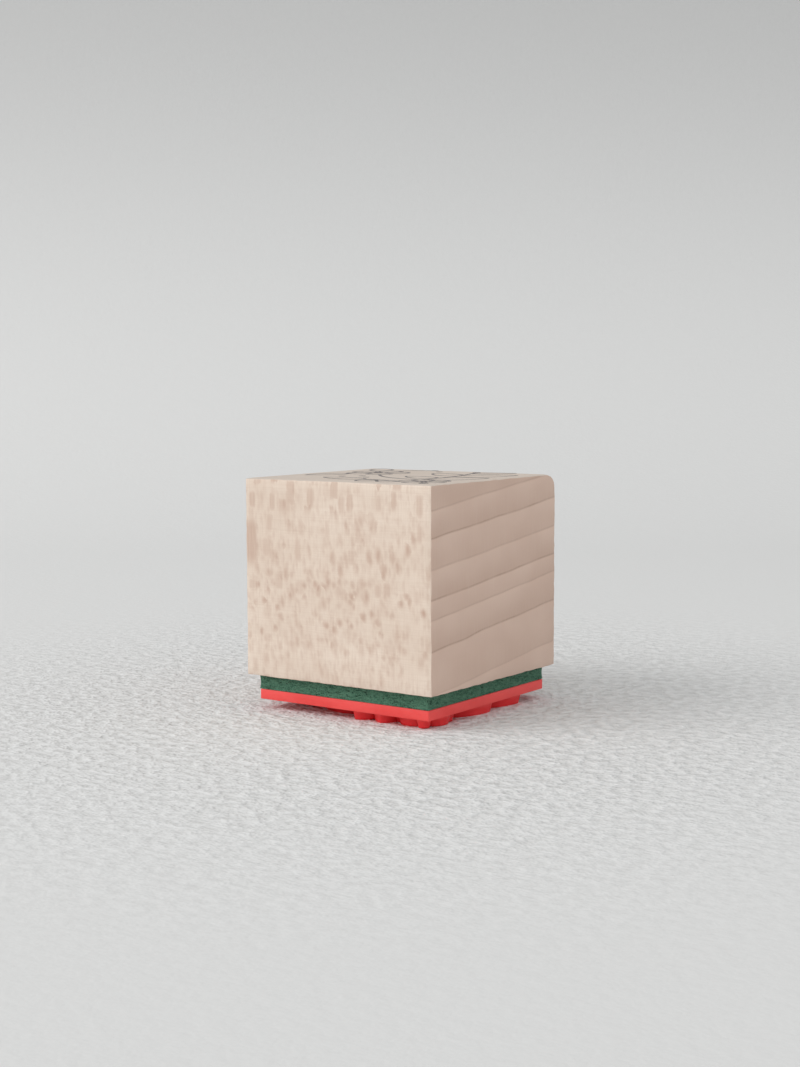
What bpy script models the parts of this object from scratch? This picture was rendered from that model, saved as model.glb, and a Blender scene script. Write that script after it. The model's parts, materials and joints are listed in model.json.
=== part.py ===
"""A wood-mounted rubber stamp: a hardwood block, a foam cushion and a moulded rubber die.

Two adhesive films bond the layers. The stamp stands on its printing face at Z = 0, the grain of
the block runs along X, and the front face looks towards -Y. The die moves up along Z as the
cushion gives under the hand.
"""

import math
from functools import partial

import bmesh
import bpy
from mathutils import Matrix, Vector

# Block, in metres.
BLOCK_WIDTH = 0.0300
BLOCK_DEPTH = 0.0300
BLOCK_HEIGHT = 0.0264
BACK_EDGE_ROUND = 0.0023
BLOCK_EDGE_EASE = 0.00025

# Die and cushion: both are cut to one outline, set back from the block's sides.
DIE_INSET_X = 0.00135
DIE_INSET_Y = 0.00115
DIE_CORNER_ROUND = 0.00015
CUSHION_THICKNESS = 0.00133
SHEET_THICKNESS = 0.00132
RELIEF_HEIGHT = 0.00125

# Adhesive films lie in the middle of the bond gaps.
BOND_GAP = 0.0003
FILM_THICKNESS = 0.0001

# The moulded line: its flat printing face, and how far each shoulder spreads towards the sheet.
LINE_WIDTH = 0.0006
SHOULDER_FLARE = 0.00035
DOT_SIDES = 16

# Raised shapes run on into the sheet, and past the printing face until they are trimmed flat.
# Each one's spare ends stop at heights of their own, so that no two of them lie in one plane.
RELIEF_ROOT = 0.0004
RELIEF_SPARE = 0.00015
SPARE_STEP = 0.000005
# The pocket inside a leaf or petal is moulded a little shallower than the open ground.
POCKET_DEPTH = 0.0011

# Where each layer starts, from the printing face up.
SHEET_BOTTOM_Z = RELIEF_HEIGHT
SHEET_TOP_Z = SHEET_BOTTOM_Z + SHEET_THICKNESS
CUSHION_BOTTOM_Z = SHEET_TOP_Z + BOND_GAP
CUSHION_TOP_Z = CUSHION_BOTTOM_Z + CUSHION_THICKNESS
BLOCK_BOTTOM_Z = CUSHION_TOP_Z + BOND_GAP

DIE_WIDTH = BLOCK_WIDTH - 2 * DIE_INSET_X
DIE_DEPTH = BLOCK_DEPTH - 2 * DIE_INSET_Y

# The artwork is drawn on a board from -1 to 1 each way, which the die's free area fills.
SHOULDER_REACH = LINE_WIDTH / 2 + SHOULDER_FLARE
ART_HALF_X = DIE_WIDTH / 2 - SHOULDER_REACH
ART_HALF_Y = DIE_DEPTH / 2 - SHOULDER_REACH
ART_UNIT = min(ART_HALF_X, ART_HALF_Y)

# Each leaf: its base, its tip, its width, all on the board.
LEAVES = [
    ((0.60, -0.40), (0.985, 0.09), 0.35),
    ((0.56, 0.12), (0.98, 0.64), 0.35),
    ((0.555, -0.24), (0.10, -0.06), 0.24),
    ((0.52, 0.24), (0.05, 0.52), 0.27),
    ((0.40, -0.755), (0.44, -0.97), 0.20),
    ((0.19, -0.735), (0.14, -0.97), 0.20),
    ((0.02, -0.69), (-0.53, -0.62), 0.24),
    ((-0.725, 0.01), (-0.93, -0.42), 0.25),
    ((-0.72, 0.60), (-0.96, 0.96), 0.24),
    ((0.42, 0.66), (0.76, 0.96), 0.22),
]
# Each bloom: its centre, its radius, the direction of its first petal.
BLOOMS = [
    ((0.74, -0.68), 0.26, math.radians(-90)),
    ((-0.53, 0.30), 0.33, math.radians(20)),
]
PETALS = 5
EYE_SHARE = 0.17
# Each stem: its two ends and how far its middle bows to the left of the line between them.
STEMS = [
    ((0.562, -0.51), (0.35, 0.83), -0.08),
    ((0.477, -0.773), (0.02, -0.69), -0.02),
    ((-0.327, 0.04), (0.555, -0.49), -0.12),
    ((-0.54, 0.63), (-0.25, 0.92), 0.06),
]
# Each berry: its place and its radius.
BERRIES = [
    ((0.92, -0.94), 0.055),
    ((-0.24, 0.93), 0.050),
    ((-0.07, 0.77), 0.045),
    ((-0.32, -0.26), 0.045),
    ((-0.15, -0.42), 0.040),
    ((-0.47, -0.40), 0.045),
    ((0.345, 0.86), 0.050),
]
LEAF_STEPS = 22
PETAL_STEPS = 14
STEM_STEPS = 10


def clear_scene():
    """Starts from an empty file."""
    for obj in list(bpy.data.objects):
        bpy.data.objects.remove(obj, do_unlink=True)


def new_collection(name):
    collection = bpy.data.collections.new(name)
    bpy.context.scene.collection.children.link(collection)
    return collection


def new_material(name, colour, roughness, metallic=0.0):
    material = bpy.data.materials.new(name)
    material.use_nodes = True
    shader = material.node_tree.nodes["Principled BSDF"]
    shader.inputs["Base Color"].default_value = (*colour, 1.0)
    shader.inputs["Roughness"].default_value = roughness
    shader.inputs["Metallic"].default_value = metallic
    material.diffuse_color = (*colour, 1.0)
    return material


def finish_mesh(bm, name, collection):
    """Turns a bmesh into an object in the collection."""
    mesh = bpy.data.meshes.new(name)
    bm.to_mesh(mesh)
    bm.free()
    obj = bpy.data.objects.new(name, mesh)
    collection.objects.link(obj)
    return obj


def box(name, collection, width, depth, bottom_z, height):
    """A box centred on the Z axis."""
    bm = bmesh.new()
    bmesh.ops.create_cube(bm, size=1.0, matrix=Matrix.Diagonal((width, depth, height, 1.0)))
    obj = finish_mesh(bm, name, collection)
    obj.data.transform(Matrix.Translation((0.0, 0.0, bottom_z + height / 2)))
    return obj


def add_bevel(obj, name, width, segments, angle=None):
    """Rounds the weighted edges, or the edges sharper than the angle."""
    bevel = obj.modifiers.new(name, "BEVEL")
    bevel.width = width
    bevel.segments = segments
    bevel.limit_method = "WEIGHT" if angle is None else "ANGLE"
    if angle is not None:
        bevel.angle_limit = angle
    bevel.use_clamp_overlap = True
    return bevel


def weight_edges(obj, chosen):
    """Marks the edges whose two ends pass the test, for a weighted bevel."""
    weights = obj.data.attributes.new("bevel_weight_edge", "FLOAT", "EDGE")
    for edge in obj.data.edges:
        ends = [obj.data.vertices[i].co for i in edge.vertices]
        weights.data[edge.index].value = float(all(chosen(end) for end in ends))


def make_block(collection, material):
    """The hardwood block: one broad round along the top edge at the back, a sanded break elsewhere."""
    block = box("wood_block", collection, BLOCK_WIDTH, BLOCK_DEPTH, BLOCK_BOTTOM_Z, BLOCK_HEIGHT)
    middle_z = BLOCK_BOTTOM_Z + BLOCK_HEIGHT / 2
    weight_edges(block, lambda end: end.y > 0 and end.z > middle_z)
    add_bevel(block, "back_edge_round", BACK_EDGE_ROUND, 8)
    add_bevel(block, "edge_ease", BLOCK_EDGE_EASE, 2, math.radians(50))
    block.data.materials.append(material)
    return block


def make_layer(name, collection, material, bottom_z, thickness):
    """One layer of the cushion stack, cut to the die's outline with lightly rounded corners."""
    layer = box(name, collection, DIE_WIDTH, DIE_DEPTH, bottom_z, thickness)
    weights = layer.data.attributes.new("bevel_weight_edge", "FLOAT", "EDGE")
    for edge in layer.data.edges:
        low, high = (layer.data.vertices[i].co for i in edge.vertices)
        weights.data[edge.index].value = float(abs(low.z - high.z) > thickness / 2)
    add_bevel(layer, "corner_round", DIE_CORNER_ROUND, 2)
    layer.data.materials.append(material)
    return layer


def on_board(point):
    """A point of the artwork's board, in metres on the die."""
    return Vector((point[0] * ART_HALF_X, point[1] * ART_HALF_Y, 0.0))


def leaf_outline(leaf, growth):
    """A pointed oval from base to tip, fullest near its base, grown outwards all round."""
    base, tip, width = leaf
    start, end = on_board(base), on_board(tip)
    axis = (end - start).normalized()
    side = Vector((-axis.y, axis.x, 0.0))
    half_length = (end - start).length / 2 + growth
    half_width = width * ART_UNIT / 2 + growth
    points = []
    for step in range(LEAF_STEPS):
        turn = 2 * math.pi * step / LEAF_STEPS
        rise = math.sin(turn) * (1.0 - 0.28 * math.cos(turn)) * abs(math.sin(turn)) ** 0.35
        centre_line = (start + end) / 2 + axis * (half_length * math.cos(turn))
        points.append(centre_line + side * (half_width * rise))
    return points


def petal_outline(bloom, petal, growth):
    """A rounded petal, narrow at the bloom's centre and broad at its rim, grown outwards."""
    centre, radius, first = bloom
    reach = radius * ART_UNIT
    direction = first + 2 * math.pi * petal / PETALS
    axis = Vector((math.cos(direction), math.sin(direction), 0.0))
    side = Vector((-axis.y, axis.x, 0.0))
    middle = on_board(centre) + axis * (0.63 * reach)
    half_length = 0.37 * reach + growth
    half_width = 0.38 * reach + growth
    points = []
    for step in range(PETAL_STEPS):
        turn = 2 * math.pi * step / PETAL_STEPS
        across = half_width * math.sin(turn) * (1.0 + 0.30 * math.cos(turn))
        points.append(middle + axis * (half_length * math.cos(turn)) + side * across)
    return points


def stem_outline(stem, growth):
    """A stem as an even bow between two points of the board, this far to each side of its line."""
    start, end, bow = stem
    first, last = on_board(start), on_board(end)
    run = last - first
    left = Vector((-run.y, run.x, 0.0)).normalized()
    one_side, other_side = [], []
    for step in range(STEM_STEPS + 1):
        share = step / STEM_STEPS
        point = first + run * share + left * (bow * ART_UNIT * math.sin(math.pi * share))
        heading = run + left * (bow * ART_UNIT * math.pi * math.cos(math.pi * share))
        aside = Vector((-heading.y, heading.x, 0.0)).normalized() * growth
        one_side.append(point - aside)
        other_side.append(point + aside)
    return one_side + other_side[::-1]


def shoulder_growth(height):
    """How much wider each side of a line is at this height than at its printing face."""
    return SHOULDER_FLARE * height / RELIEF_HEIGHT


def tapered_solid(name, outlines, collection):
    """A closed solid between two outlines of one count of points, each a (height, points) pair."""
    bm = bmesh.new()
    lower, upper = (
        [bm.verts.new((point.x, point.y, height)) for point in points]
        for height, points in outlines
    )
    bm.faces.new(lower[::-1])
    bm.faces.new(upper)
    sides = []
    for index, corner in enumerate(lower):
        after = (index + 1) % len(lower)
        sides.append(bm.faces.new((corner, lower[after], upper[after], upper[index])))
    bmesh.ops.triangulate(bm, faces=sides)
    return finish_mesh(bm, name, collection)


def spare_ends(order):
    """The heights between which the raised shape of this order runs before trimming."""
    spare = order * SPARE_STEP
    return -RELIEF_SPARE - spare, RELIEF_HEIGHT + RELIEF_ROOT + spare


def raised_pad(name, order, outline, collection):
    """A raised shape, its outline spreading from its tip to its root in the sheet."""
    tip_z, root_z = spare_ends(order)
    tip = outline(LINE_WIDTH / 2 + shoulder_growth(tip_z))
    root = outline(LINE_WIDTH / 2 + shoulder_growth(root_z))
    return tapered_solid(name, [(tip_z, tip), (root_z, root)], collection)


def pocket(name, order, outline, collection):
    """The hollow of a ringed shape, inside its line."""
    mouth_z = -2 * RELIEF_SPARE - order * SPARE_STEP
    floor_z = POCKET_DEPTH - order * SPARE_STEP
    mouth = outline(-LINE_WIDTH / 2 - shoulder_growth(mouth_z))
    floor = outline(-LINE_WIDTH / 2 - shoulder_growth(floor_z))
    return tapered_solid(name, [(mouth_z, mouth), (floor_z, floor)], collection)


def raised_dot(name, order, centre, radius, collection):
    """A dot: a cone frustum rooted in the sheet."""
    tip_z, root_z = spare_ends(order)
    bm = bmesh.new()
    bmesh.ops.create_cone(
        bm,
        cap_ends=True,
        segments=DOT_SIDES,
        radius1=radius + shoulder_growth(tip_z),
        radius2=radius + shoulder_growth(root_z),
        depth=root_z - tip_z,
        matrix=Matrix.Translation((centre.x, centre.y, (root_z + tip_z) / 2)),
    )
    return finish_mesh(bm, name, collection)


def make_artwork(raised, pockets):
    """Every raised shape of the artwork, and the pockets of the ringed ones."""
    ringed = []
    for number, leaf in enumerate(LEAVES):
        ringed.append((f"leaf_{number}", partial(leaf_outline, leaf)))
    for number, bloom in enumerate(BLOOMS):
        for petal in range(PETALS):
            ringed.append((f"petal_{number}_{petal}", partial(petal_outline, bloom, petal)))
    for order, (name, outline) in enumerate(ringed):
        raised_pad(name, order, outline, raised)
        pocket(name + "_pocket", order, outline, pockets)

    order = len(ringed)
    for stem in STEMS:
        raised_pad(f"stem_{order}", order, partial(stem_outline, stem), raised)
        order += 1
    eyes = [(centre, EYE_SHARE * radius) for centre, radius, _ in BLOOMS]
    for place, radius in BERRIES + eyes:
        raised_dot(f"dot_{order}", order, on_board(place), radius * ART_UNIT, raised)
        order += 1


def add_boolean(obj, name, operation, cutter):
    """Joins or cuts with one object or with a collection of them."""
    boolean = obj.modifiers.new(name, "BOOLEAN")
    boolean.operation = operation
    boolean.solver = "EXACT"
    if isinstance(cutter, bpy.types.Collection):
        boolean.operand_type = "COLLECTION"
        boolean.collection = cutter
    else:
        boolean.object = cutter


def make_die(collection, cutters, material):
    """The rubber die: a sheet and its relief, moulded as one piece and trimmed flat at Z = 0."""
    die = make_layer("rubber_die", collection, material, SHEET_BOTTOM_Z, SHEET_THICKNESS)
    raised = bpy.data.collections.new("raised_shapes")
    pockets = bpy.data.collections.new("pockets")
    for group in (raised, pockets):
        cutters.children.link(group)
    make_artwork(raised, pockets)
    trim_depth = 3 * RELIEF_SPARE
    trimmer = box("face_trimmer", cutters, BLOCK_WIDTH, BLOCK_DEPTH, -trim_depth, trim_depth)
    add_boolean(die, "relief", "UNION", raised)
    add_boolean(die, "hollows", "DIFFERENCE", pockets)
    add_boolean(die, "flat_face", "DIFFERENCE", trimmer)
    for group in (cutters, raised, pockets):
        for helper in group.objects:
            helper.hide_render = True
            helper.display_type = "WIRE"
    return die


def make_press_axis(collection):
    """The line along which the die moves into the cushion."""
    axis = bpy.data.objects.new("press_axis", None)
    axis.location = (0.0, 0.0, SHEET_TOP_Z)
    axis.empty_display_size = SHEET_THICKNESS
    collection.objects.link(axis)
    return axis


def hang_on(obj, parent):
    """Parents obj and leaves it where it is."""
    obj.parent = parent
    obj.matrix_parent_inverse = parent.matrix_world.inverted()


def main():
    clear_scene()
    stamp = new_collection("rubber_stamp")
    cutters = new_collection("cutters")

    maple = new_material("maple", (0.74, 0.62, 0.51), 0.62)
    film = new_material("adhesive_film", (0.78, 0.76, 0.70), 0.35)
    foam = new_material("cushion_foam", (0.060, 0.140, 0.080), 0.90)
    rubber = new_material("die_rubber", (0.74, 0.060, 0.055), 0.48)

    make_block(stamp, maple)
    film_lift = (BOND_GAP - FILM_THICKNESS) / 2
    make_layer("block_adhesive", stamp, film, CUSHION_TOP_Z + film_lift, FILM_THICKNESS)
    make_layer("foam_cushion", stamp, foam, CUSHION_BOTTOM_Z, CUSHION_THICKNESS)
    die_film = make_layer("die_adhesive", stamp, film, SHEET_TOP_Z + film_lift, FILM_THICKNESS)
    die = make_die(stamp, cutters, rubber)

    press_axis = make_press_axis(stamp)
    bpy.context.view_layer.update()
    hang_on(die_film, press_axis)
    hang_on(die, press_axis)


main()
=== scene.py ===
"""The looks of a wood-mounted rubber stamp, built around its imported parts.

A maple block, a foam cushion, a moulded rubber die with its artwork, and the artwork's print on top.
Metres, +Z up. The printing face is at Z = 0, and the front of the block faces -Y.
"""

import json
import math
import random

import bmesh
import bpy
from mathutils import Matrix, Vector

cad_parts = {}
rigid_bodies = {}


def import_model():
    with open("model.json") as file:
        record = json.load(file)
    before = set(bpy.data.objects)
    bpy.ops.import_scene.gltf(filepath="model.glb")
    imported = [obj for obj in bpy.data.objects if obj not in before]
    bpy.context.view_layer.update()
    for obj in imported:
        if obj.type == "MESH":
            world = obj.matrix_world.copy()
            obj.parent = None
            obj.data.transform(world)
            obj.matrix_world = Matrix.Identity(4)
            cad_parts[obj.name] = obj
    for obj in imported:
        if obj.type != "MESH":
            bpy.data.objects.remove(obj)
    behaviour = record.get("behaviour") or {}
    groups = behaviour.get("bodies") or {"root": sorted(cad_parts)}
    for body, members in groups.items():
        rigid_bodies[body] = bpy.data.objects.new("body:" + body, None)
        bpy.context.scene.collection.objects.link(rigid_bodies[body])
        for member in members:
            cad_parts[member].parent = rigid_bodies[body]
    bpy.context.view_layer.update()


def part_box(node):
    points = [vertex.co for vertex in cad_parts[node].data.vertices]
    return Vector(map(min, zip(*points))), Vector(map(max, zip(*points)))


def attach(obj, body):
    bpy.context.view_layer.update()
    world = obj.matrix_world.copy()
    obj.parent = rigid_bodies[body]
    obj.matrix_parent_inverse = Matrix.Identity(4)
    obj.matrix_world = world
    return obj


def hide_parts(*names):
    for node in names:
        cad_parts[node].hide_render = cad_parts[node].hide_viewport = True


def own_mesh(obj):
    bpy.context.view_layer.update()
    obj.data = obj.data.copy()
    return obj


MM = 0.001

# The parts that the looks are built around.
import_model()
BLOCK_LOW, BLOCK_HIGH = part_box("wood_block")
DIE_LOW, DIE_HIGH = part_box("rubber_die")

# Maple block.
BACK_EDGE_ROUND = 2.3 * MM
BACK_EDGE_STEPS = 12
EDGE_EASE = 0.22 * MM
EDGE_EASE_STEPS = 3
WEAR_SPACING = 0.75 * MM
WEAR_DEPTH = 0.16 * MM
WEAR_GRAIN = 0.9 * MM

# Foam cushion and the films that bond it.
BOND_FILM = 0.06 * MM
BOND_FILM_INSET = 0.25 * MM
FOAM_ROWS = 20
FOAM_SIDE_STEPS = 300
FOAM_WAIST = 0.07 * MM
# Share of the skin's points, and how far each of them is pushed in.
PORE_DEPTHS = ((0.09, 0.18 * MM), (0.16, 0.08 * MM), (0.20, -0.02 * MM))
CORNER_SHARE = 0.97
FOAM_SEED = 11

# Rubber die: a sheet, and artwork raised on it as lines of one width on flared shoulders.
SHEET_BOTTOM = DIE_HIGH.z - 1.32 * MM
SHEET_EASE = 0.05 * MM
SHEET_CORNER_ROUND = 0.15 * MM
LINE_WIDTH = 0.60 * MM
SHOULDER_FLARE = 0.35 * MM
RELIEF_ROOT = 0.4 * MM
POCKET_DEPTH = 1.1 * MM
# Share of the relief's height, and share of the flare there: a rounded tip, then a hollow shoulder.
SHOULDER = ((0.0, -0.09), (0.025, 0.0), (0.32, 0.22), (0.58, 0.44), (0.78, 0.64), (0.91, 0.82), (1.0, 1.0))
SPARE_STEP = 0.003 * MM

# The artwork on a board from -1 to 1 each way, seen from above: X to the right, Y to the back.
# A leaf has a base, a tip and a width.
LEAVES = [
    ((0.60, -0.40), (0.985, 0.09), 0.35),
    ((0.56, 0.12), (0.98, 0.64), 0.35),
    ((0.555, -0.24), (0.10, -0.06), 0.24),
    ((0.52, 0.24), (0.05, 0.52), 0.27),
    ((0.40, -0.755), (0.44, -0.97), 0.20),
    ((0.19, -0.735), (0.14, -0.97), 0.20),
    ((0.02, -0.69), (-0.53, -0.62), 0.24),
    ((-0.725, 0.01), (-0.93, -0.42), 0.25),
    ((-0.72, 0.60), (-0.96, 0.96), 0.24),
    ((0.42, 0.66), (0.76, 0.96), 0.22),
]
# A bloom has a centre, a radius and the heading of its first petal.
BLOOMS = [
    ((0.74, -0.68), 0.26, math.radians(-90)),
    ((-0.53, 0.30), 0.33, math.radians(20)),
]
# A stem has two ends and a bow to its left.
STEMS = [
    ((0.562, -0.51), (0.35, 0.83), -0.08),
    ((0.477, -0.773), (0.02, -0.69), -0.02),
    ((-0.327, 0.04), (0.555, -0.49), -0.12),
    ((-0.54, 0.63), (-0.25, 0.92), 0.06),
]
# A berry has a place and a radius.
BERRIES = [
    ((0.92, -0.94), 0.055),
    ((-0.24, 0.93), 0.050),
    ((-0.07, 0.77), 0.045),
    ((-0.32, -0.26), 0.045),
    ((-0.15, -0.42), 0.040),
    ((-0.47, -0.40), 0.045),
    ((0.345, 0.86), 0.050),
]
PETALS = 5
EYE_SHARE = 0.17
LEAF_STEPS = 44
PETAL_STEPS = 32
STEM_STEPS = 20
DOT_STEPS = 28
SHOULDER_REACH = LINE_WIDTH / 2 + SHOULDER_FLARE
ART_HALF = Vector((DIE_HIGH.x - SHOULDER_REACH, DIE_HIGH.y - SHOULDER_REACH, 0.0))
ART_UNIT = min(ART_HALF.x, ART_HALF.y)

# Index print: a thin coat of ink on top of the block.
INK_LINE = 0.42 * MM
INK_COAT = 0.012 * MM
INK_SINK = 0.004 * MM
# Each line lies this much higher than the one before, so that no two tops share a plane.
INK_STEP = 0.0003 * MM

# Camera, from the near bottom corner of the block.
CAMERA_HEADING = math.radians(35.56)
CAMERA_ASIDE = -3.854 * MM
CAMERA_BACK = 206.47 * MM
CAMERA_ABOVE = 39.36 * MM
CAMERA_PITCH = math.radians(5.22)
CAMERA_ROLL = math.radians(-0.20)
CAMERA_LENS = 57.09
CAMERA_ACROSS = Vector((math.cos(CAMERA_HEADING), math.sin(CAMERA_HEADING), 0.0))
CAMERA_AHEAD = Vector((-math.sin(CAMERA_HEADING), math.cos(CAMERA_HEADING), 0.0))
UP = Vector((0.0, 0.0, 1.0))


# ---------------------------------------------------------------- shaping helpers


def deselect_all():
    bpy.ops.object.select_all(action="DESELECT")


def name_it(name):
    """Names the object just added, puts its place in its mesh and returns it."""
    obj = bpy.context.object
    obj.name = obj.data.name = name
    bpy.ops.object.transform_apply(location=True, rotation=True, scale=True)
    return obj


def box(name, low, high):
    """A box between two corners."""
    deselect_all()
    bpy.ops.mesh.primitive_cube_add(size=1.0, location=(low + high) / 2, scale=high - low)
    return name_it(name)


def edit(obj):
    """Opens obj in edit mode, with nothing selected."""
    deselect_all()
    obj.select_set(True)
    bpy.context.view_layer.objects.active = obj
    bpy.ops.object.mode_set(mode="EDIT")
    bpy.ops.mesh.select_all(action="DESELECT")


def leave_edit():
    bpy.ops.object.mode_set(mode="OBJECT")


def select_edges(obj, wanted):
    """Selects, in edit mode, the edges that pass the test, and no others."""
    bpy.ops.mesh.select_mode(type="EDGE")
    bpy.ops.mesh.select_all(action="DESELECT")
    bm = bmesh.from_edit_mesh(obj.data)
    for edge in bm.edges:
        edge.select_set(wanted(edge))
    bmesh.update_edit_mesh(obj.data)


def select_verts(obj, chosen):
    """Selects, in edit mode, the vertices of these numbers, and no others."""
    bpy.ops.mesh.select_mode(type="VERT")
    bpy.ops.mesh.select_all(action="DESELECT")
    bm = bmesh.from_edit_mesh(obj.data)
    bm.verts.ensure_lookup_table()
    for index in chosen:
        bm.verts[index].select_set(True)
    bm.select_flush_mode()
    bmesh.update_edit_mesh(obj.data)


def middle(edge):
    return (edge.verts[0].co + edge.verts[1].co) / 2


def along(edge, axis):
    """True if the edge runs along this axis, 0 to 2."""
    run = (edge.verts[1].co - edge.verts[0].co).normalized()
    return abs(run[axis]) > 0.999


def apply_modifier(obj, kind, **settings):
    """Adds a modifier with these settings to obj, and applies it."""
    deselect_all()
    obj.select_set(True)
    bpy.context.view_layer.objects.active = obj
    modifier = obj.modifiers.new(kind.lower(), kind)
    for name, value in settings.items():
        setattr(modifier, name, value)
    bpy.ops.object.modifier_apply(modifier=modifier.name)


def shade_smooth(obj, angle):
    deselect_all()
    obj.select_set(True)
    bpy.context.view_layer.objects.active = obj
    bpy.ops.object.shade_smooth_by_angle(angle=math.radians(angle))


def cut_across(obj, spacing):
    """Cuts the whole mesh into strips of about this spacing along each axis."""
    low = [min(v.co[axis] for v in obj.data.vertices) for axis in range(3)]
    high = [max(v.co[axis] for v in obj.data.vertices) for axis in range(3)]
    edit(obj)
    for axis in range(3):
        count = round((high[axis] - low[axis]) / spacing)
        across = [0.0, 0.0, 0.0]
        across[axis] = 1.0
        for number in range(1, count):
            place = [0.0, 0.0, 0.0]
            place[axis] = low[axis] + (high[axis] - low[axis]) * number / count
            bpy.ops.mesh.select_all(action="SELECT")
            bpy.ops.mesh.bisect(plane_co=place, plane_no=across)
    leave_edit()


# ---------------------------------------------------------------- material helpers


class Finish:
    """A material in the making. Patterns read the piece's own coordinates, in millimetres."""

    def __init__(self, name):
        self.material = bpy.data.materials.new(name)
        self.material.use_nodes = True
        self.nodes = self.material.node_tree.nodes
        self.links = self.material.node_tree.links
        self.shader = self.nodes["Principled BSDF"]
        self.coordinates = self.nodes.new("ShaderNodeTexCoord")

    def add(self, kind, fed=None, **settings):
        """A node with these settings, each input of fed holding a value or joined to an output."""
        node = self.nodes.new("ShaderNode" + kind)
        for name, value in settings.items():
            setattr(node, name, value)
        self.feed(node, fed or {})
        return node

    def feed(self, node, fed):
        for name, value in fed.items():
            socket = node.inputs[name]
            if isinstance(value, bpy.types.NodeSocket):
                self.links.new(value, socket)
            else:
                socket.default_value = value

    def surface(self, **fed):
        """Feeds the shader. Roughness stands for its socket Roughness, and Base_Color for Base Color."""
        self.feed(self.shader, {name.replace("_", " "): value for name, value in fed.items()})

    def place(self, size=(1.0, 1.0, 1.0), turn=(0.0, 0.0, 0.0), shift=(0.0, 0.0, 0.0)):
        """The piece's coordinates in steps of this size in millimetres, turned by these degrees."""
        scale = [1.0 / (MM * step) for step in size]
        turned = self.add(
            "Mapping",
            {"Vector": self.coordinates.outputs["Object"], "Rotation": [math.radians(a) for a in turn]},
        )
        return self.add(
            "Mapping",
            {"Vector": turned.outputs["Vector"], "Scale": scale, "Location": shift},
        ).outputs["Vector"]

    def noise(self, vector, scale=1.0, detail=2.0, rough=0.5):
        fed = {"Vector": vector, "Scale": scale, "Detail": detail, "Roughness": rough}
        return self.add("TexNoise", fed).outputs["Fac"]

    def cells(self, vector, metric="EUCLIDEAN"):
        return self.add("TexVoronoi", {"Vector": vector, "Scale": 1.0}, distance=metric)

    def warped(self, vector, amount, scale):
        """The coordinates pushed about by a soft noise."""
        push = self.add("TexNoise", {"Vector": vector, "Scale": scale, "Detail": 2.0})
        centred = self.add("VectorMath", {0: push.outputs["Color"], 1: (0.5, 0.5, 0.5)}, operation="SUBTRACT")
        sized = self.add(
            "VectorMath", {0: centred.outputs["Vector"], "Scale": amount}, operation="SCALE"
        )
        return self.add(
            "VectorMath", {0: vector, 1: sized.outputs["Vector"]}, operation="ADD"
        ).outputs["Vector"]

    def flecks(self, size, lean, warp, share, soft, square=False):
        """Flecks of this size in millimetres, in this share of their cells, fading across soft."""
        spread = self.warped(self.place(turn=(0.0, lean, 0.0)), warp, 1.1)
        stretched = self.add(
            "VectorMath", {0: spread, 1: [1.0 / step for step in size]}, operation="MULTIPLY"
        ).outputs["Vector"]
        cells = self.cells(stretched, metric="CHEBYCHEV" if square else "EUCLIDEAN")
        chosen = self.span(self.parts(cells.outputs["Color"])["X"], 1.0 - share, 1.0 - share + 0.12)
        return self.sum("MULTIPLY", chosen, self.span(cells.outputs["Distance"], soft[0], soft[1], 1.0, 0.0))

    def parts(self, vector):
        """The X, Y and Z of a vector."""
        return self.add("SeparateXYZ", {"Vector": vector}).outputs

    def sum(self, operation, first, second=0.0):
        return self.add("Math", {0: first, 1: second}, operation=operation, use_clamp=False).outputs[0]

    def span(self, value, start, end, low=0.0, high=1.0, smooth=True):
        """Value from start to end, as low to high, and held beyond them."""
        kind = "SMOOTHSTEP" if smooth else "LINEAR"
        fed = {"Value": value, "From Min": start, "From Max": end, "To Min": low, "To Max": high}
        return self.add("MapRange", fed, interpolation_type=kind).outputs[0]

    def ramp(self, value, stops):
        """A colour or a tone for each value. Stops are (value, tone or colour)."""
        node = self.add("ValToRGB", {"Fac": value})
        band = node.color_ramp
        band.interpolation = "LINEAR"
        while len(band.elements) < len(stops):
            band.elements.new(1.0)
        for element, (at, tone) in zip(band.elements, stops):
            element.position = at
            colour = tone if hasattr(tone, "__len__") else (tone, tone, tone)
            element.color = (*colour, 1.0)
        return node.outputs["Color"]

    def blend(self, share, first, second):
        """The first tone or colour turning into the second by this share."""
        node = self.add("Mix", data_type="RGBA", blend_type="MIX", clamp_factor=True)
        colours = [socket for socket in node.inputs if socket.type == "RGBA"]
        for socket, value in ((node.inputs["Factor"], share), (colours[0], first), (colours[1], second)):
            if isinstance(value, bpy.types.NodeSocket):
                self.links.new(value, socket)
            elif hasattr(value, "__len__"):
                socket.default_value = (*value, 1.0)
            else:
                socket.default_value = value
        return next(socket for socket in node.outputs if socket.type == "RGBA")

    def bump(self, height, depth, strength, over=None):
        """A relief of this depth in metres, on top of another where there is one."""
        fed = {"Height": height, "Distance": depth, "Strength": strength}
        if over is not None:
            fed["Normal"] = over
        return self.add("Bump", fed).outputs["Normal"]


# ---------------------------------------------------------------- finishes

# Growth rings: height at the front of the block, above its bottom, in millimetres, and how dark the line is.
RINGS = ((23.2, 0.45), (19.7, 0.9), (15.8, 0.45), (12.05, 1.0), (9.6, 0.4), (5.7, 0.9), (0.1, 0.3))
RING_SLOPE = 0.117
# The rings' ramp starts this far below the block and covers this much height, in millimetres.
RAMP_BELOW = 4.0
RAMP_HEIGHT = 32.0
# The plainest flecks on the front lie in rows:
# height above the block's bottom, how many, width, height, depth of tone.
PLAIN_ROWS = (
    (24.0, 9, 0.9, 2.7, 0.80),
    (20.5, 4, 0.8, 2.2, 0.60),
    (17.0, 4, 1.0, 2.5, 0.55),
    (12.5, 8, 1.0, 1.6, 0.65),
)
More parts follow.
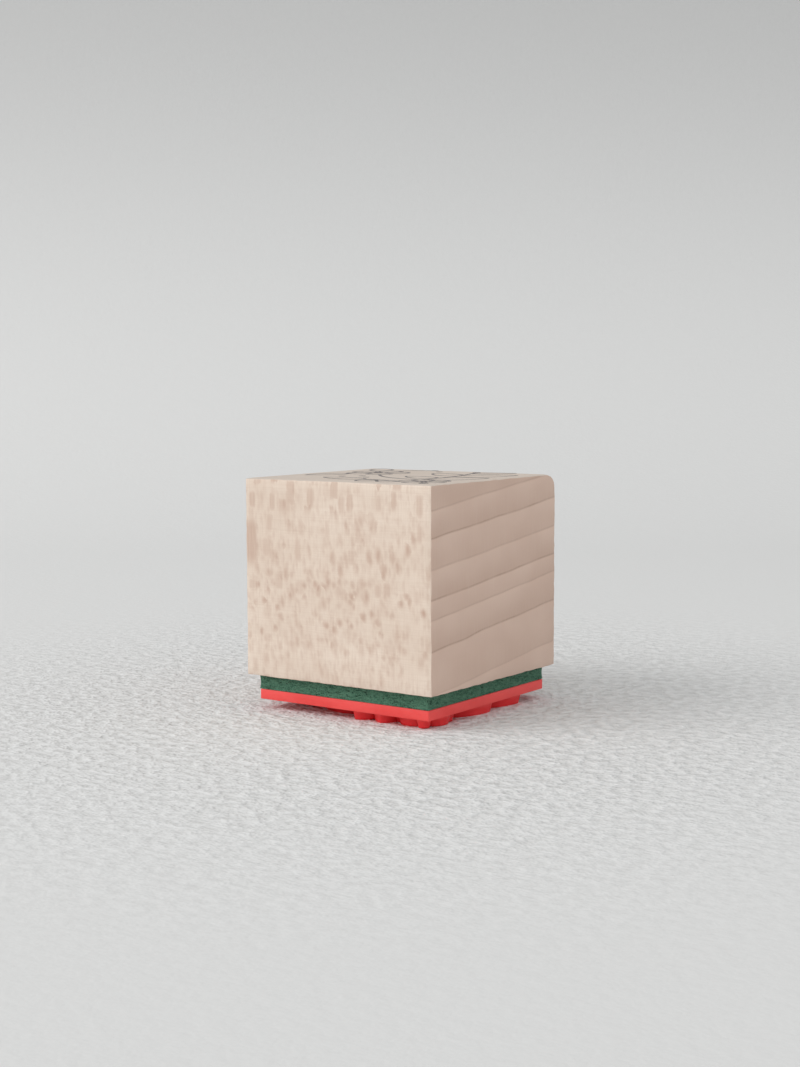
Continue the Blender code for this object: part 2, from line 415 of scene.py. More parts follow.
# One tall fleck at the left edge: middle across, middle above the bottom, width, height, depth of tone.
EDGE_FLECK = (-14.0, 18.0, 2.0, 6.0, 1.0)
FLECK_SEED = 7
# The plainest flecks fade out from the front towards the back, between these two Y in millimetres.
FRONT_FADE = (-14.0, -11.0)
# Colours of the maple: two for its clouds on each kind of face, one for each part of its figure, and one for
# the painted shade and sheen on top.
SIDE_TONES = ((0.790, 0.660, 0.555), (0.850, 0.725, 0.620))
END_TONES = ((0.710, 0.520, 0.425), (0.760, 0.570, 0.470))
FIBRE_TONE = (0.700, 0.560, 0.455)
THREAD_TONE = (0.690, 0.545, 0.440)
SIDE_YEAR_TONE = (0.600, 0.460, 0.370)
END_YEAR_TONE = (0.460, 0.302, 0.228)
RING_LINE_TONE = (0.400, 0.255, 0.190)
FLECK_TONE = (0.560, 0.385, 0.300)
RAY_TONE = (0.720, 0.600, 0.510)
DASH_TONE = (0.55, 0.40, 0.32)
TOP_SHADE_AND_SHEEN_TONE = (0.560, 0.500, 0.450)
BLOCK_TOP_MM = BLOCK_HIGH.z / MM
BLOCK_BOTTOM_MM = BLOCK_LOW.z / MM


def plain_flecks():
    """The edge fleck, and the rows of flecks, each one a little out of step with its neighbours."""
    chance = random.Random(FLECK_SEED)
    flecks = [EDGE_FLECK]
    for level, count, width, height, depth in PLAIN_ROWS:
        pitch = (BLOCK_HIGH.x - BLOCK_LOW.x) / MM / count
        for number in range(count):
            across = BLOCK_LOW.x / MM + pitch * (number + chance.uniform(0.15, 0.85))
            up = level + chance.uniform(-0.6, 0.6)
            wide = width * chance.uniform(0.7, 1.3)
            tall = height * chance.uniform(0.8, 1.2)
            flecks.append((across, up, wide, tall, depth * chance.uniform(0.6, 1.2)))
    return flecks


def maple_finish():
    """Quarter-sawn maple: ray flecks in front, growth rings on the ends, short dashes on top, and painted
    shade and sheen greying the top.
    """
    wood = Finish("maple")
    facing = wood.parts(wood.coordinates.outputs["Normal"])
    end_grain = wood.span(wood.sum("ABSOLUTE", facing["X"]), 0.5, 0.9)
    radial = wood.span(wood.sum("ABSOLUTE", facing["Y"]), 0.5, 0.9)
    position = wood.place()
    level = wood.parts(position)["Z"]

    # Growth rings, rising towards the back: each year darkens downwards to a thin line.
    pivot = Vector((0.0, BLOCK_LOW.y, BLOCK_LOW.z)) / MM
    ring_place = wood.add(
        "VectorMath", {0: wood.warped(position, 0.5, 0.12), 1: pivot}, operation="SUBTRACT"
    ).outputs["Vector"]
    parts = wood.parts(ring_place)
    climb = wood.sum("MULTIPLY", parts["Y"], RING_SLOPE)
    age = wood.sum("DIVIDE", wood.sum("SUBTRACT", parts["Z"], climb), RAMP_HEIGHT)
    age = wood.sum("ADD", age, RAMP_BELOW / RAMP_HEIGHT)
    stops = [(0.0, 0.35)]
    for height, dark in reversed(RINGS):
        at = (height + RAMP_BELOW) / RAMP_HEIGHT
        stops += [(at - 0.0045, 0.06), (at, 0.45 + 0.55 * dark), (at + 0.0045, 0.42 + 0.30 * dark)]
    stops.append((1.0, 0.55))
    years = wood.ramp(age, stops)
    stops = [(0.0, 0.0)]
    for height, dark in reversed(RINGS):
        at = (height + RAMP_BELOW) / RAMP_HEIGHT
        stops += [(at - 0.003, 0.0), (at + 0.001, dark), (at + 0.006, 0.0)]
    lines = wood.ramp(age, stops)

    # Ray flecks: plates that are tall, fairly long and very thin, so each face cuts them its own way.
    blocks = wood.flecks(
        size=(1.4, 0.9, 3.4), lean=0.0, warp=0.30, share=0.30, soft=(0.34, 0.56), square=True
    )
    streaks = wood.flecks(size=(1.15, 0.6, 2.5), lean=6.0, warp=0.55, share=0.75, soft=(0.0, 0.70))
    spots = wood.flecks(size=(1.20, 0.6, 1.45), lean=16.0, warp=0.50, share=0.72, soft=(0.0, 0.66))
    slivers = wood.flecks(size=(0.55, 0.4, 1.7), lean=3.0, warp=0.45, share=0.70, soft=(0.0, 0.75))
    rise = wood.span(level, BLOCK_BOTTOM_MM, BLOCK_TOP_MM, smooth=False)
    block_rows = wood.ramp(rise, [(0.0, 0.0), (0.80, 0.0), (0.87, 0.6), (1.0, 0.6)])
    streak_rows = wood.ramp(
        rise, [(0.0, 0.5), (0.2, 0.6), (0.34, 0.35), (0.5, 0.95), (0.8, 0.75), (0.9, 0.35), (1.0, 0.2)]
    )
    spot_rows = wood.ramp(
        rise, [(0.0, 0.25), (0.14, 0.45), (0.26, 1.0), (0.46, 1.0), (0.56, 0.35), (0.7, 0.1)]
    )
    patchy = wood.span(wood.noise(wood.place((4.0, 4.0, 3.5)), 1.0, 2.0), 0.28, 0.56, 0.50, 1.0)
    flecks = wood.sum("MULTIPLY", blocks, block_rows)
    flecks = wood.sum("MAXIMUM", flecks, wood.sum("MULTIPLY", streaks, streak_rows))
    flecks = wood.sum("MAXIMUM", flecks, wood.sum("MULTIPLY", spots, spot_rows))
    flecks = wood.sum("MULTIPLY", flecks, patchy)
    flecks = wood.sum("ADD", wood.sum("MULTIPLY", flecks, 1.05), wood.sum("MULTIPLY", slivers, 0.36))

    # The plainest flecks lie on the front only.
    in_front = wood.span(wood.parts(position)["Y"], *FRONT_FADE, 1.0, 0.0)
    waved = wood.warped(position, 0.45, 0.8)
    plain = 0.0
    for across, up, width, height, depth in plain_flecks():
        size = (2.0 / width, 0.0, 2.0 / height)
        centre = (-across * size[0], 0.0, -(up + BLOCK_BOTTOM_MM) * size[2])
        near = wood.add("Mapping", {"Vector": waved, "Scale": size, "Location": centre}).outputs["Vector"]
        near = wood.add("VectorMath", {0: near, 1: near}, operation="MULTIPLY").outputs["Vector"]
        reach = wood.add("VectorMath", {0: near}, operation="LENGTH").outputs["Value"]
        plain = wood.sum("MAXIMUM", plain, wood.span(reach, 0.30, 1.55, depth, 0.0))
    ribs = wood.span(wood.noise(wood.place((0.30, 0.5, 6.0)), 1.0, 2.0), 0.25, 0.75, 0.65, 1.1)
    plain = wood.sum("MULTIPLY", wood.sum("MULTIPLY", plain, in_front), ribs)
    flecks = wood.sum("MULTIPLY", wood.sum("MAXIMUM", flecks, plain), radial)

    # Fine dashes on top, fine upright lines on the ends, and fibres along the grain.
    dashes = wood.span(wood.noise(wood.place((1.6, 0.16, 3.0)), 1.0, 2.0), 0.56, 0.70)
    rays = wood.span(wood.noise(wood.place((1.0, 0.14, 5.0)), 1.0, 2.0, 0.6), 0.40, 0.72)
    threads = wood.noise(wood.place((0.22, 0.5, 3.0)), 1.0, 2.0, 0.6)
    fibres = wood.noise(wood.place((6.0, 0.22, 0.16)), 1.0, 3.0, 0.6)
    clouds = wood.noise(wood.place((14.0, 9.0, 6.0)), 1.0, 2.0)

    side_tone = wood.blend(wood.span(clouds, 0.3, 0.7), *SIDE_TONES)
    side_tone = wood.blend(
        wood.sum("MULTIPLY", wood.span(fibres, 0.35, 0.75), 0.36), side_tone, FIBRE_TONE
    )
    side_tone = wood.blend(
        wood.sum("MULTIPLY", wood.span(threads, 0.35, 0.75), 0.36), side_tone, THREAD_TONE
    )
    side_tone = wood.blend(wood.sum("MULTIPLY", years, 0.14), side_tone, SIDE_YEAR_TONE)
    side_tone = wood.blend(wood.sum("MULTIPLY", flecks, 0.78), side_tone, FLECK_TONE)
    not_front = wood.sum("SUBTRACT", 1.0, radial)
    side_tone = wood.blend(
        wood.sum("MULTIPLY", wood.sum("MULTIPLY", dashes, not_front), 0.35), side_tone, DASH_TONE
    )

    end_tone = wood.blend(wood.span(clouds, 0.3, 0.7), *END_TONES)
    end_tone = wood.blend(wood.sum("MULTIPLY", years, 0.62), end_tone, END_YEAR_TONE)
    uneven = wood.span(wood.noise(wood.place((5.0, 3.5, 1.5)), 1.0, 3.0), 0.30, 0.66, 0.28, 0.80)
    end_tone = wood.blend(wood.sum("MULTIPLY", lines, uneven), end_tone, RING_LINE_TONE)
    end_tone = wood.blend(wood.sum("MULTIPLY", rays, 0.16), end_tone, RAY_TONE)
    # Painted shade and sheen: the top face turns greyer and darker, for the grazing light across it.
    top_shade_and_sheen = wood.span(facing["Z"], 0.5, 0.95, 0.0, 0.55)
    side_tone = wood.blend(top_shade_and_sheen, side_tone, TOP_SHADE_AND_SHEEN_TONE)
    tone = wood.blend(end_grain, side_tone, end_tone)

    grain = wood.bump(fibres, 0.02 * MM, 0.35)
    grain = wood.bump(wood.noise(wood.place((0.25, 0.12, 0.12)), 1.0, 3.0, 0.7), 0.012 * MM, 0.5, grain)
    wood.surface(
        Base_Color=tone,
        Roughness=wood.span(fibres, 0.2, 0.8, 0.52, 0.68),
        Normal=grain,
        Specular_IOR_Level=0.35,
    )
    return wood.material


# Colours of the foam: a cell's edge and middle, its pale mottle, and the painted shade inside an opened pore.
CELL_TONES = ((0.022, 0.072, 0.045), (0.078, 0.186, 0.122))
FOAM_MOTTLE_TONE = (0.125, 0.262, 0.178)
PORE_SHADE_TONE = (0.004, 0.010, 0.008)


def foam_finish():
    """Dark green foam cut clean through its cells, with painted shade in its opened pores."""
    foam = Finish("cushion_foam")
    place = foam.warped(foam.place(), 0.12, 3.0)
    walls = foam.cells(
        foam.add("VectorMath", {0: place, 1: (6.5, 6.5, 7.5)}, operation="MULTIPLY").outputs[0]
    )
    pores = foam.cells(
        foam.add("VectorMath", {0: place, 1: (3.4, 3.4, 4.4)}, operation="MULTIPLY").outputs[0]
    )
    pore_pit_and_shade = foam.sum(
        "MULTIPLY",
        foam.span(foam.parts(pores.outputs["Color"])["X"], 0.70, 0.74),
        foam.span(pores.outputs["Distance"], 0.16, 0.34, 1.0, 0.0),
    )
    cell = foam.span(walls.outputs["Distance"], 0.12, 0.62)
    mottle = foam.span(foam.noise(foam.place((0.9, 0.9, 0.5)), 1.0, 3.0), 0.3, 0.7)
    tone = foam.blend(cell, *CELL_TONES)
    tone = foam.blend(foam.sum("MULTIPLY", mottle, 0.40), tone, FOAM_MOTTLE_TONE)
    # Painted shade: the opened pores go near black, for the shade inside them; the same mask also sinks them
    # as pits.
    tone = foam.blend(foam.sum("MULTIPLY", pore_pit_and_shade, 0.95), tone, PORE_SHADE_TONE)
    skin = foam.bump(cell, 0.05 * MM, 0.6)
    skin = foam.bump(pore_pit_and_shade, -0.12 * MM, 0.8, skin)
    foam.surface(
        Base_Color=tone,
        Roughness=foam.span(cell, 0.0, 1.0, 0.95, 0.78),
        Normal=skin,
        Specular_IOR_Level=0.2,
    )
    return foam.material


# Colours of the rubber: its mottle, its grain, and the painted shade that turns the raised artwork darker and
# deeper red.
RUBBER_TONES = ((0.870, 0.066, 0.062), (0.930, 0.092, 0.086))
RUBBER_GRAIN_TONE = (0.88, 0.15, 0.13)
RAISED_SHADE_TONE = (0.740, 0.010, 0.016)


def rubber_finish():
    """Red moulded rubber with a soft satin skin, and painted shade that turns the raised artwork darker and
    deeper red.
    """
    rubber = Finish("die_rubber")
    level = rubber.parts(rubber.place())["Z"]
    mottle = rubber.noise(rubber.place((4.0, 4.0, 2.0)), 1.0, 3.0)
    grain = rubber.noise(rubber.place((0.11, 0.11, 0.11)), 1.0, 3.0, 0.6)
    tone = rubber.blend(rubber.span(mottle, 0.3, 0.7), *RUBBER_TONES)
    tone = rubber.blend(rubber.span(grain, 0.6, 0.8, 0.0, 0.35), tone, RUBBER_GRAIN_TONE)
    # Painted shade: below the sheet, the raised artwork goes darker and deeper red, for the shade and red
    # light under the stamp.
    raised = rubber.span(level, 0.55 * SHEET_BOTTOM / MM, 1.15 * SHEET_BOTTOM / MM, 0.80, 0.0)
    tone = rubber.blend(raised, tone, RAISED_SHADE_TONE)
    skin = rubber.bump(grain, 0.010 * MM, 0.45)
    skin = rubber.bump(rubber.noise(rubber.place((1.4, 1.4, 0.35)), 1.0, 2.0), 0.03 * MM, 0.35, skin)
    rubber.surface(
        Base_Color=tone,
        Roughness=rubber.span(mottle, 0.25, 0.75, 0.42, 0.56),
        Normal=skin,
        Specular_IOR_Level=0.40,
        Subsurface_Weight=0.12,
        Subsurface_Radius=(0.9 * MM, 0.25 * MM, 0.2 * MM),
        Subsurface_Scale=1.0,
    )
    return rubber.material


def film_finish():
    """Pale bonding film, faintly cloudy."""
    film = Finish("adhesive_film")
    cloud = film.noise(film.place((0.8, 0.8, 0.8)), 1.0, 3.0)
    film.surface(
        Base_Color=film.blend(film.span(cloud, 0.3, 0.7), (0.52, 0.50, 0.44), (0.66, 0.63, 0.56)),
        Roughness=film.span(cloud, 0.3, 0.7, 0.30, 0.45),
    )
    return film.material


def ink_finish():
    """Grey stamping ink, thin where the wood took less of it."""
    ink = Finish("index_ink")
    thin = ink.noise(ink.place((1.2, 0.35, 1.0)), 1.0, 3.0, 0.65)
    ink.surface(
        Base_Color=ink.blend(ink.span(thin, 0.38, 0.72), (0.100, 0.092, 0.096), (0.400, 0.350, 0.325)),
        Roughness=ink.span(thin, 0.3, 0.7, 0.55, 0.70),
        Normal=ink.bump(ink.noise(ink.place((6.0, 0.22, 0.16)), 1.0, 3.0, 0.6), 0.02 * MM, 0.3),
        Specular_IOR_Level=0.3,
    )
    return ink.material


# In metres: where the floor's tooth fades out, from the stamp, and how high the painted shade on the wall
# goes on darkening.
TOOTH_FADE = (0.025, 0.12)
WALL_SHADE_HEIGHT = 0.25


def floor_finish():
    """Plain white board with a tooth, plainest round the stamp and smoother further out, with painted shade
    darkening the wall as it rises.
    """
    floor = Finish("floor_board")
    tooth = floor.noise(floor.place((1.5, 1.5, 1.5)), 1.0, 2.0, 0.6)
    metres = floor.place((1 / MM, 1 / MM, 1 / MM))
    height = floor.parts(metres)["Z"]
    away = floor.add("VectorMath", {0: metres}, operation="LENGTH").outputs["Value"]
    worn = floor.span(away, *TOOTH_FADE)
    mottle = floor.blend(floor.span(tooth, 0.25, 0.75), (0.640, 0.640, 0.636), (0.835, 0.838, 0.840))
    tone = floor.blend(worn, mottle, (0.742, 0.744, 0.742))
    # Painted shade: the board darkens as it rises into the wall.
    tone = floor.blend(floor.span(height, 0.0, WALL_SHADE_HEIGHT), tone, (0.520, 0.521, 0.520))
    floor.surface(
        Base_Color=tone,
        Roughness=0.85,
        Normal=floor.bump(tooth, 0.80 * MM, floor.span(worn, 0.0, 1.0, 1.0, 0.12)),
        Specular_IOR_Level=0.2,
    )
    return floor.material


# ---------------------------------------------------------------- artwork outlines


def on_board(point):
    """A place on the art board, at the size of the die."""
    return Vector((point[0] * ART_HALF.x, point[1] * ART_HALF.y, 0.0))


def leaf_outline(leaf, growth):
    """A pointed leaf, grown evenly beyond the middle of its line."""
    base, tip, width = leaf
    start, end = on_board(base), on_board(tip)
    ahead = (end - start).normalized()
    aside = Vector((-ahead.y, ahead.x, 0.0))
    half_length = (end - start).length / 2 + growth
    half_width = width * ART_UNIT / 2 + growth
    points = []
    for step in range(LEAF_STEPS):
        turn = 2 * math.pi * step / LEAF_STEPS
        rise = math.sin(turn) * (1 - 0.28 * math.cos(turn)) * abs(math.sin(turn)) ** 0.35
        spine = (start + end) / 2 + ahead * (half_length * math.cos(turn))
        points.append(spine + aside * (half_width * rise))
    return points


def petal_outline(bloom, petal, growth):
    """One rounded petal of a bloom."""
    centre, radius, first = bloom
    reach = radius * ART_UNIT
    heading = first + 2 * math.pi * petal / PETALS
    ahead = Vector((math.cos(heading), math.sin(heading), 0.0))
    aside = Vector((-ahead.y, ahead.x, 0.0))
    half_length = 0.37 * reach + growth
    half_width = 0.38 * reach + growth
    points = []
    for step in range(PETAL_STEPS):
        turn = 2 * math.pi * step / PETAL_STEPS
        across = half_width * math.sin(turn) * (1 + 0.30 * math.cos(turn))
        out = 0.63 * reach + half_length * math.cos(turn)
        points.append(on_board(centre) + ahead * out + aside * across)
    return points


def stem_outline(stem, growth):
    """A stem as an even bow between two points, this far to each side of its line."""
    start, end, bow = stem
    first, last = on_board(start), on_board(end)
    run = last - first
    left = Vector((-run.y, run.x, 0.0)).normalized()
    one_side, other_side = [], []
    for step in range(STEM_STEPS + 1):
        share = step / STEM_STEPS
        point = first + run * share + left * (bow * ART_UNIT * math.sin(math.pi * share))
        heading = run + left * (bow * ART_UNIT * math.pi * math.cos(math.pi * share))
        aside = Vector((-heading.y, heading.x, 0.0)).normalized() * growth
        one_side.append(point - aside)
        other_side.append(point + aside)
    return one_side + other_side[::-1]


def dot_outline(dot, growth):
    """A berry, or the eye of a bloom."""
    place, radius = dot
    reach = radius * ART_UNIT - LINE_WIDTH / 2 + growth
    points = []
    for step in range(DOT_STEPS):
        turn = 2 * math.pi * step / DOT_STEPS
        points.append(on_board(place) + Vector((math.cos(turn), math.sin(turn), 0.0)) * reach)
    return points


def artwork():
    """Every shape of the artwork: its name, what gives its outline, and whether it is a ring."""
    shapes = []
    for number, leaf in enumerate(LEAVES):
        shapes.append((f"leaf_{number}", lambda growth, leaf=leaf: leaf_outline(leaf, growth), True))
    for number, bloom in enumerate(BLOOMS):
        for petal in range(PETALS):
            shapes.append(
                (
                    f"petal_{number}_{petal}",
                    lambda growth, bloom=bloom, petal=petal: petal_outline(bloom, petal, growth),
                    True,
                )
            )
    for number, stem in enumerate(STEMS):
        shapes.append((f"stem_{number}", lambda growth, stem=stem: stem_outline(stem, growth), False))
    eyes = [(centre, EYE_SHARE * radius) for centre, radius, _ in BLOOMS]
    for number, dot in enumerate(BERRIES + eyes):
        shapes.append((f"dot_{number}", lambda growth, dot=dot: dot_outline(dot, growth), False))
    return shapes


# ---------------------------------------------------------------- pieces


def draw_out(name, rings):
    """A closed solid through rings of points: the first is filled, then drawn out from each to the next."""
    deselect_all()
    bpy.ops.mesh.primitive_circle_add(vertices=len(rings[0]), radius=1.0, fill_type="NGON")
    obj = name_it(name)
    for vertex, point in zip(obj.data.vertices, rings[0]):
        vertex.co = point
    edit(obj)
    bpy.ops.mesh.select_all(action="SELECT")
    for before, after in zip(rings, rings[1:]):
        bpy.ops.mesh.extrude_region_move()
        bm = bmesh.from_edit_mesh(obj.data)
        for vertex in [v for v in bm.verts if v.select]:
            nearest = min(range(len(before)), key=lambda i: (before[i] - vertex.co).length_squared)
            vertex.co = after[nearest]
        bmesh.update_edit_mesh(obj.data)
    bpy.ops.mesh.select_all(action="SELECT")
    bpy.ops.mesh.quads_convert_to_tris()
    bpy.ops.mesh.normals_make_consistent(inside=False)
    leave_edit()
    return obj


def at_height(points, height):
    return [Vector((point.x, point.y, height)) for point in points]


def raised_shape(name, order, outline):
    """One raised shape of the die, from its rounded tip to its root in the sheet."""
    spare = order * SPARE_STEP
    rings = []
    for height_share, flare_share in SHOULDER:
        growth = LINE_WIDTH / 2 + SHOULDER_FLARE * flare_share
        rings.append(at_height(outline(growth), spare + SHEET_BOTTOM * height_share))
    rings.append(at_height(outline(LINE_WIDTH / 2 + SHOULDER_FLARE), SHEET_BOTTOM + RELIEF_ROOT + spare))
    return draw_out(name, rings)


def hollow(name, order, outline):
    """The hollow inside a ringed shape, narrowing to its floor."""
    spare = order * SPARE_STEP
    rings = [at_height(outline(-LINE_WIDTH / 2 + SHOULDER_FLARE * 0.09), -0.1 * MM - spare)]
    for height_share, flare_share in SHOULDER[:-1]:
        growth = -LINE_WIDTH / 2 - SHOULDER_FLARE * flare_share
        rings.append(at_height(outline(growth), spare / 2 + POCKET_DEPTH * height_share))
    rings.append(at_height(outline(-LINE_WIDTH / 2 - SHOULDER_FLARE * 0.9), POCKET_DEPTH - spare))
    return draw_out(name, rings)


def gather(name, objects):
    """Moves the objects into a collection of their own, for a Boolean to use, and returns it."""
    group = bpy.data.collections.new(name)
    bpy.context.scene.collection.children.link(group)
    for obj in objects:
        for home in list(obj.users_collection):
            home.objects.unlink(obj)
        group.objects.link(obj)
    return group


def scrap(group):
    """Deletes the shapes that a Boolean has used."""
    for obj in list(group.objects):
        bpy.data.objects.remove(obj)
    bpy.data.collections.remove(group)


def make_die(material):
    """The rubber die: the sheet with every raised shape joined on and every hollow cut in."""
    die = box("moulded_die", Vector((DIE_LOW.x, DIE_LOW.y, SHEET_BOTTOM)), DIE_HIGH)
    edit(die)
    select_edges(die, lambda edge: along(edge, 2))
    bpy.ops.mesh.bevel(offset=SHEET_CORNER_ROUND, segments=4, affect="EDGES")
    select_edges(die, lambda edge: not along(edge, 2))
    bpy.ops.mesh.bevel(offset=SHEET_EASE, segments=2, affect="EDGES")
    leave_edit()
    raised, hollows = [], []
    for order, (name, outline, ringed) in enumerate(artwork()):
        raised.append(raised_shape(name, order, outline))
        if ringed:
            hollows.append(hollow(name + "_hollow", order, outline))
    for name, shapes, way in (("raised", raised, "UNION"), ("hollows", hollows, "DIFFERENCE")):
        group = gather(name, shapes)
        apply_modifier(
            die, "BOOLEAN", operand_type="COLLECTION", collection=group, operation=way, solver="EXACT"
        )
        scrap(group)
    shade_smooth(die, 38)
    die.data.materials.clear()
    die.data.materials.append(material)
    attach(die, "die")
    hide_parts("rubber_die")


def make_block(material):
    """The block: a rounded back edge on top, the other edges eased and a little worn."""
    block = box("maple_block", BLOCK_LOW, BLOCK_HIGH)
    edit(block)
    select_edges(
        block,
        lambda edge: along(edge, 0) and middle(edge).y > 0 and middle(edge).z > BLOCK_HIGH.z - MM,
    )
    bpy.ops.mesh.bevel(offset=BACK_EDGE_ROUND, segments=BACK_EDGE_STEPS, affect="EDGES")
    select_edges(block, lambda edge: edge.calc_face_angle(0.0) > math.radians(30))
    bpy.ops.mesh.bevel(offset=EDGE_EASE, segments=EDGE_EASE_STEPS, affect="EDGES")
    leave_edit()
    cut_across(block, WEAR_SPACING)
    worn = block.vertex_groups.new(name="worn")
    worn_reach = EDGE_EASE * 1.5
    inner = Vector((BLOCK_HIGH.x - worn_reach, BLOCK_HIGH.y - worn_reach, 0.0))
    for vertex in block.data.vertices:
        near_end = vertex.co.z > BLOCK_HIGH.z - worn_reach or vertex.co.z < BLOCK_LOW.z + worn_reach
        near = [abs(vertex.co.x) > inner.x, abs(vertex.co.y) > inner.y, near_end]
        if sum(near) >= 2:
            worn.add([vertex.index], 1.0, "REPLACE")
    nicks = bpy.data.textures.new("nicks", "CLOUDS")
    nicks.noise_scale = WEAR_GRAIN
    nicks.noise_depth = 2
    apply_modifier(
        block,
        "DISPLACE",
        texture=nicks,
        texture_coords="LOCAL",
        strength=WEAR_DEPTH,
        mid_level=1.0,
        vertex_group="worn",
    )
    shade_smooth(block, 30)
    block.data.materials.append(material)
    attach(block, "mount")
    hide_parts("wood_block")


def make_foam(material):
    """The cushion: a wall of fine rows, pitted where the knife opened its cells."""
    bottom = DIE_HIGH.z + BOND_FILM
    top = BLOCK_LOW.z - BOND_FILM
    size = DIE_HIGH.x - DIE_LOW.x, DIE_HIGH.y - DIE_LOW.y
    deselect_all()
    bpy.ops.mesh.primitive_plane_add(size=1.0, location=(0.0, 0.0, bottom))
    foam = name_it("foam_pad")
    foam.scale = (size[0], size[1], 1.0)
    bpy.ops.object.transform_apply(location=True, rotation=True, scale=True)
    edit(foam)
    bpy.ops.mesh.select_all(action="SELECT")
    bpy.ops.mesh.delete(type="ONLY_FACE")
    bpy.ops.mesh.select_all(action="SELECT")
    bpy.ops.mesh.subdivide(number_cuts=FOAM_SIDE_STEPS)
    row = (top - bottom) / FOAM_ROWS
    width = size[0]
    for number in range(1, FOAM_ROWS + 1):
        bpy.ops.mesh.extrude_region_move(TRANSFORM_OT_translate={"value": (0.0, 0.0, row)})
        here = FOAM_WAIST * math.sin(math.pi * number / FOAM_ROWS)
        before = FOAM_WAIST * math.sin(math.pi * (number - 1) / FOAM_ROWS)
        factor = (width - 2 * here) / (width - 2 * before)
        bpy.ops.transform.resize(value=(factor, factor, 1.0), center_override=(0.0, 0.0, 0.0))
    for height in (bottom, top):
        select_edges(foam, lambda edge: edge.is_boundary and abs(middle(edge).z - height) < row / 2)
        bpy.ops.mesh.edge_face_add()
    bpy.ops.mesh.select_all(action="SELECT")
    bpy.ops.mesh.normals_make_consistent(inside=False)
    chance = random.Random(FOAM_SEED)
    # The corners stay whole: beyond these two lines nothing is pitted.
    corner = CORNER_SHARE * size[0] / 2, CORNER_SHARE * size[1] / 2
    skin = [
        v.index
        for v in bmesh.from_edit_mesh(foam.data).verts
        if bottom + row / 2 < v.co.z < top - row / 2
        and not (abs(v.co.x) > corner[0] and abs(v.co.y) > corner[1])
    ]
    for share, depth in PORE_DEPTHS:
        select_verts(foam, chance.sample(skin, int(share * len(skin))))
        bpy.ops.transform.shrink_fatten(value=-depth)
    leave_edit()
    shade_smooth(foam, 60)
    foam.data.materials.append(material)
    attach(foam, "mount")
    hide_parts("foam_cushion")
    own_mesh(foam)


def make_film(name, body, node, bottom, material):
    """A thin bonding film, a little smaller than the cushion."""
    inset = Vector((BOND_FILM_INSET, BOND_FILM_INSET, 0.0))
    low = Vector((DIE_LOW.x, DIE_LOW.y, bottom)) + inset
    high = Vector((DIE_HIGH.x, DIE_HIGH.y, bottom + BOND_FILM)) - inset
    film = box(name, low, high)
    edit(film)
    select_edges(film, lambda edge: along(edge, 2))
    bpy.ops.mesh.bevel(offset=BOND_FILM_INSET, segments=5, affect="EDGES")
    leave_edit()
    shade_smooth(film, 40)
    film.data.materials.append(material)
    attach(film, body)
    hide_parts(node)


def make_print(material):
    """The artwork in ink on top of the block, each line a thin raised ribbon."""
    lines = []
    low = BLOCK_HIGH.z - INK_SINK
    high = BLOCK_HIGH.z + INK_COAT
    for name, outline, ringed in artwork():
        curve = bpy.data.curves.new("ink_" + name, "CURVE")
        curve.dimensions = "2D"
        curve.fill_mode = "BOTH"
        curve.extrude = (high - low) / 2
        edges = [outline(INK_LINE / 2)]
        if ringed:
            edges.append(outline(-INK_LINE / 2)[::-1])
        for points in edges:
            spline = curve.splines.new("POLY")
            spline.points.add(len(points) - 1)
            for spot, point in zip(spline.points, points):
                spot.co = (point.x, point.y, 0.0, 1.0)
            spline.use_cyclic_u = True
        line = bpy.data.objects.new("ink_" + name, curve)
        bpy.context.scene.collection.objects.link(line)
        lines.append(line)
    deselect_all()
    for order, line in enumerate(lines):
        line.select_set(True)
        line.location.z = (low + high) / 2 + order * INK_STEP
    bpy.context.view_layer.objects.active = lines[0]
    bpy.ops.object.convert(target="MESH")
    bpy.ops.object.join()
    ink = name_it("index_print")
    edit(ink)
    bpy.ops.mesh.select_all(action="SELECT")
    bpy.ops.mesh.remove_doubles(threshold=0.001 * MM)
    bpy.ops.mesh.normals_make_consistent(inside=False)
    leave_edit()
    ink.data.materials.clear()
    ink.data.materials.append(material)
    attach(ink, "mount")


# ---------------------------------------------------------------- stage, light, camera

FLOOR_HALF_WIDTH = 1.2
FLOOR_NEAR = -0.9
FLOOR_FAR = 0.20
SWEEP_RADIUS = 0.35
WALL_HEIGHT = 1.2


def make_floor():
    """A pale floor that sweeps up into a plain wall behind the stamp, square to the camera."""
    deselect_all()
    bpy.ops.mesh.primitive_plane_add(size=1.0)
    floor = name_it("floor")
    near_far = {-0.5: FLOOR_NEAR, 0.5: FLOOR_FAR}
    for vertex in floor.data.vertices:
        vertex.co.x *= 2 * FLOOR_HALF_WIDTH
        vertex.co.y = near_far[round(vertex.co.y, 3)]
    edit(floor)
    select_edges(floor, lambda edge: along(edge, 0) and middle(edge).y > 0)
    bpy.ops.mesh.spin(
        steps=24,
        angle=math.radians(-90),
        center=(0.0, FLOOR_FAR, SWEEP_RADIUS),
        axis=(1.0, 0.0, 0.0),
    )
    bpy.ops.mesh.extrude_region_move(TRANSFORM_OT_translate={"value": (0.0, 0.0, WALL_HEIGHT)})
    bpy.ops.mesh.select_all(action="SELECT")
    bpy.ops.mesh.normals_make_consistent(inside=False)
    leave_edit()
    floor.data.transform(Matrix.Rotation(CAMERA_HEADING, 4, "Z"))
    floor.data.update()
    shade_smooth(floor, 60)
    floor.data.materials.append(floor_finish())


def stage_place(across, ahead, above):
    """A place on the stage, as the camera sees it: to the right, away and up from the stamp."""
    return CAMERA_ACROSS * across + CAMERA_AHEAD * ahead + UP * above


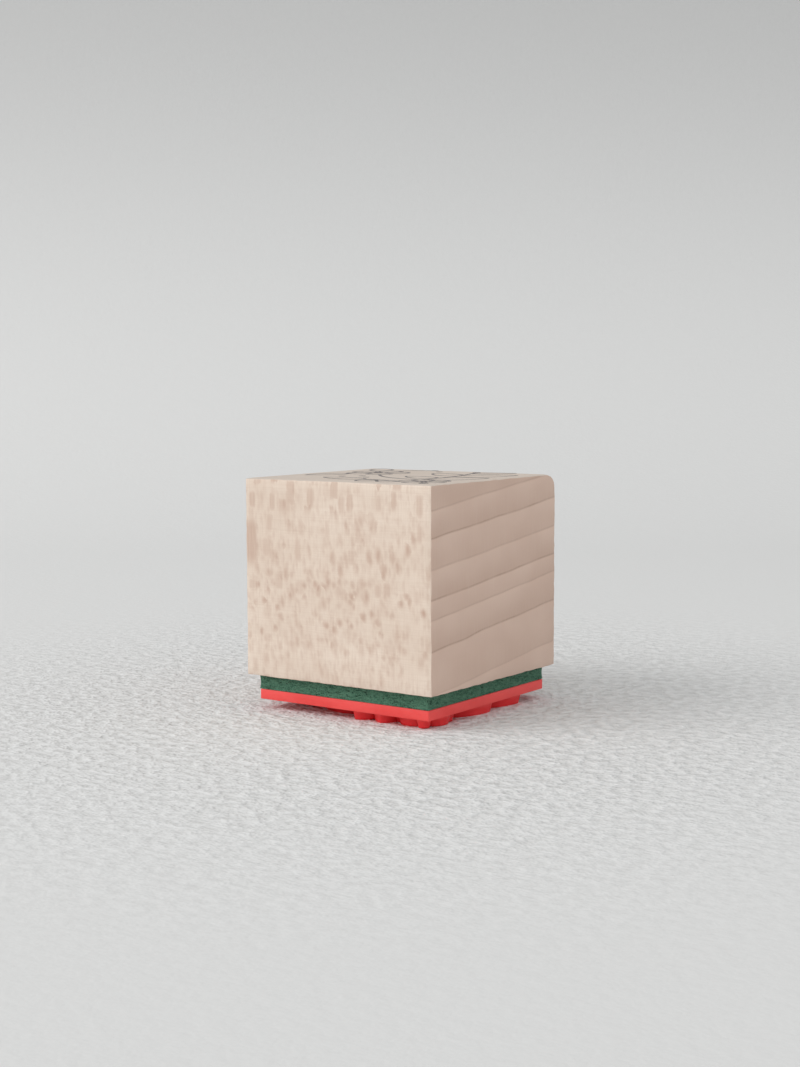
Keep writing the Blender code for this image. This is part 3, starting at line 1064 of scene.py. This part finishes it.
def add_light(name, place, size, power, tint):
    """A soft square light, aimed at the stamp."""
    lamp = bpy.data.lights.new(name, "AREA")
    lamp.size = size
    lamp.energy = power
    lamp.color = tint
    light = bpy.data.objects.new(name, lamp)
    bpy.context.scene.collection.objects.link(light)
    light.location = place
    light.rotation_euler = (AIM - place).to_track_quat("-Z", "Y").to_euler()


WINDOW_PLACE = stage_place(-1.45, -0.40, 1.02)
WINDOW_SIZE = 1.20
WINDOW_POWER = 13.7
WINDOW_TINT = (1.0, 0.985, 0.965)
ROOM_TINT = (0.975, 0.985, 0.985, 1.0)
ROOM_STRENGTH = 0.785
AIM = Vector((0.0, 0.0, 0.012))


def make_light():
    """A soft window to the left and an even pale room."""
    add_light("window", WINDOW_PLACE, WINDOW_SIZE, WINDOW_POWER, WINDOW_TINT)
    world = bpy.data.worlds.new("studio")
    world.use_nodes = True
    glow = world.node_tree.nodes["Background"]
    glow.inputs["Color"].default_value = ROOM_TINT
    glow.inputs["Strength"].default_value = ROOM_STRENGTH
    bpy.context.scene.world = world


def make_camera():
    lens = bpy.data.cameras.new("camera")
    lens.lens = CAMERA_LENS
    lens.sensor_width = 36.0
    lens.clip_start = 0.005
    lens.clip_end = 20.0
    camera = bpy.data.objects.new("camera", lens)
    bpy.context.scene.collection.objects.link(camera)
    corner = Vector((BLOCK_HIGH.x, BLOCK_LOW.y, BLOCK_LOW.z))
    place = corner + CAMERA_ACROSS * CAMERA_ASIDE - CAMERA_AHEAD * CAMERA_BACK + UP * CAMERA_ABOVE
    turn = (
        Matrix.Rotation(CAMERA_HEADING, 4, "Z")
        @ Matrix.Rotation(math.radians(90) - CAMERA_PITCH, 4, "X")
        @ Matrix.Rotation(CAMERA_ROLL, 4, "Z")
    )
    camera.matrix_world = Matrix.Translation(place) @ turn
    bpy.context.scene.camera = camera


# ---------------------------------------------------------------- the stamp

make_block(maple_finish())
make_foam(foam_finish())
film = film_finish()
make_film("film_above", "mount", "block_adhesive", BLOCK_LOW.z - BOND_FILM, film)
make_film("film_below", "die", "die_adhesive", DIE_HIGH.z, film)
make_die(rubber_finish())
make_print(ink_finish())
make_floor()
make_light()
make_camera()
bpy.context.scene.view_settings.view_transform = "Standard"
